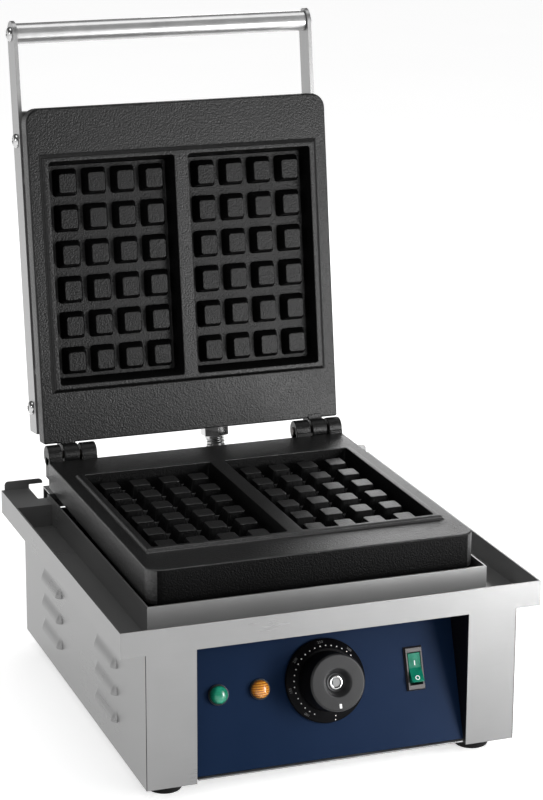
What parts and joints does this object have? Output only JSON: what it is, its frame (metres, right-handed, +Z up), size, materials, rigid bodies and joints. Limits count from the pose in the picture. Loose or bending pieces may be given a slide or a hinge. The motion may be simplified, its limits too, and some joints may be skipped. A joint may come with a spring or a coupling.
{
  "type": "belgian waffle maker",
  "caption": "Commercial belgian waffle maker: steel body with a drip tray, studded cast plates, a hinged lid with a bar handle, a thermostat knob, pilot lamps and a rocker switch.",
  "frame": {"origin": "on the floor, under the middle of the machine with its lid open", "axes": "+Z up, the control panel faces -Y, +X to the right seen from the front; the lid turns about X"},
  "size_m": [0.305, 0.4078, 0.479],
  "materials": {
    "steel": "satin stainless sheet",
    "chrome": "polished",
    "cast_iron": "black, lightly oiled casting",
    "dark_steel": "dark heat-stained metal",
    "panel_blue": "dark blue satin panel",
    "black_plastic": "black",
    "rubber": "black",
    "green_lens": "translucent green",
    "amber_lens": "translucent amber",
    "copper": "copper capillary",
    "ceramic": "unglazed",
    "hose_steel": "ribbed metal hose"
  },
  "bodies": {
    "base": {"amber_lamp_holder": "black_plastic", "amber_lamp_lens": "amber_lens", "body_hose_gland": "chrome", "bottom_plate": "steel", "cable_gland": "black_plastic", "conduit_hose": "hose_steel", "control_panel": "panel_blue", "dial_plate": "black_plastic", "drip_tray": "steel", "foot_front_left": "rubber", "foot_front_right": "rubber", "foot_rear_left": "rubber", "foot_rear_right": "rubber", "front_rail": "dark_steel", "green_lamp_holder": "black_plastic", "green_lamp_lens": "green_lens", "hinge_pin_left": "dark_steel", "hinge_pin_right": "dark_steel", "left_side_panel": "steel", "lower_element_clamp": "dark_steel", "lower_heating_element": "dark_steel", "lower_plate": "cast_iron", "plate_post_front_left": "dark_steel", "plate_post_front_right": "dark_steel", "plate_post_rear_left": "dark_steel", "plate_post_rear_right": "dark_steel", "power_switch": "black_plastic", "rear_panel": "steel", "rear_rail": "dark_steel", "rear_screw_left_1": "chrome", "rear_screw_left_2": "chrome", "rear_screw_right_1": "chrome", "rear_screw_right_2": "chrome", "right_side_panel": "steel", "terminal_block": "ceramic", "thermostat_body": "dark_steel", "thermostat_capillary": "copper"},
    "lid": {"arm_screw_left_handle": "chrome", "arm_screw_left_high": "chrome", "arm_screw_left_low": "chrome", "arm_screw_right_handle": "chrome", "arm_screw_right_high": "chrome", "arm_screw_right_low": "chrome", "handle_tube": "chrome", "left_arm": "steel", "lid_cover": "steel", "lid_hose_gland": "chrome", "lid_spacer_frame": "dark_steel", "right_arm": "steel", "spacer_screw_left_high": "chrome", "spacer_screw_left_low": "chrome", "spacer_screw_right_high": "chrome", "spacer_screw_right_low": "chrome", "upper_element_clamp": "dark_steel", "upper_heating_element": "dark_steel", "upper_plate": "cast_iron"},
    "knob": {"knob": "black_plastic", "knob_insert": "chrome", "thermostat_shaft": "steel"},
    "rocker": {"switch_rocker": "green_lens"}
  },
  "joints": [
    {"name": "lid_hinge", "type": "hinge", "parent": "base", "child": "lid", "pos_m": [0, 0.11038, 0.156], "axis": [1, 0, 0], "range_deg": [0, 98], "deforming": ["conduit_hose"]},
    {"name": "knob_turn", "type": "hinge", "parent": "base", "child": "knob", "pos_m": [0, -0.17172, 0.06513], "axis": [0, 0.9511, -0.309], "range_deg": [0, 230]},
    {"name": "rocker_tilt", "type": "hinge", "parent": "base", "child": "rocker", "pos_m": [0.06698, -0.17172, 0.06513], "axis": [1, 0, 0], "range_deg": [0, 24]}
  ]
}
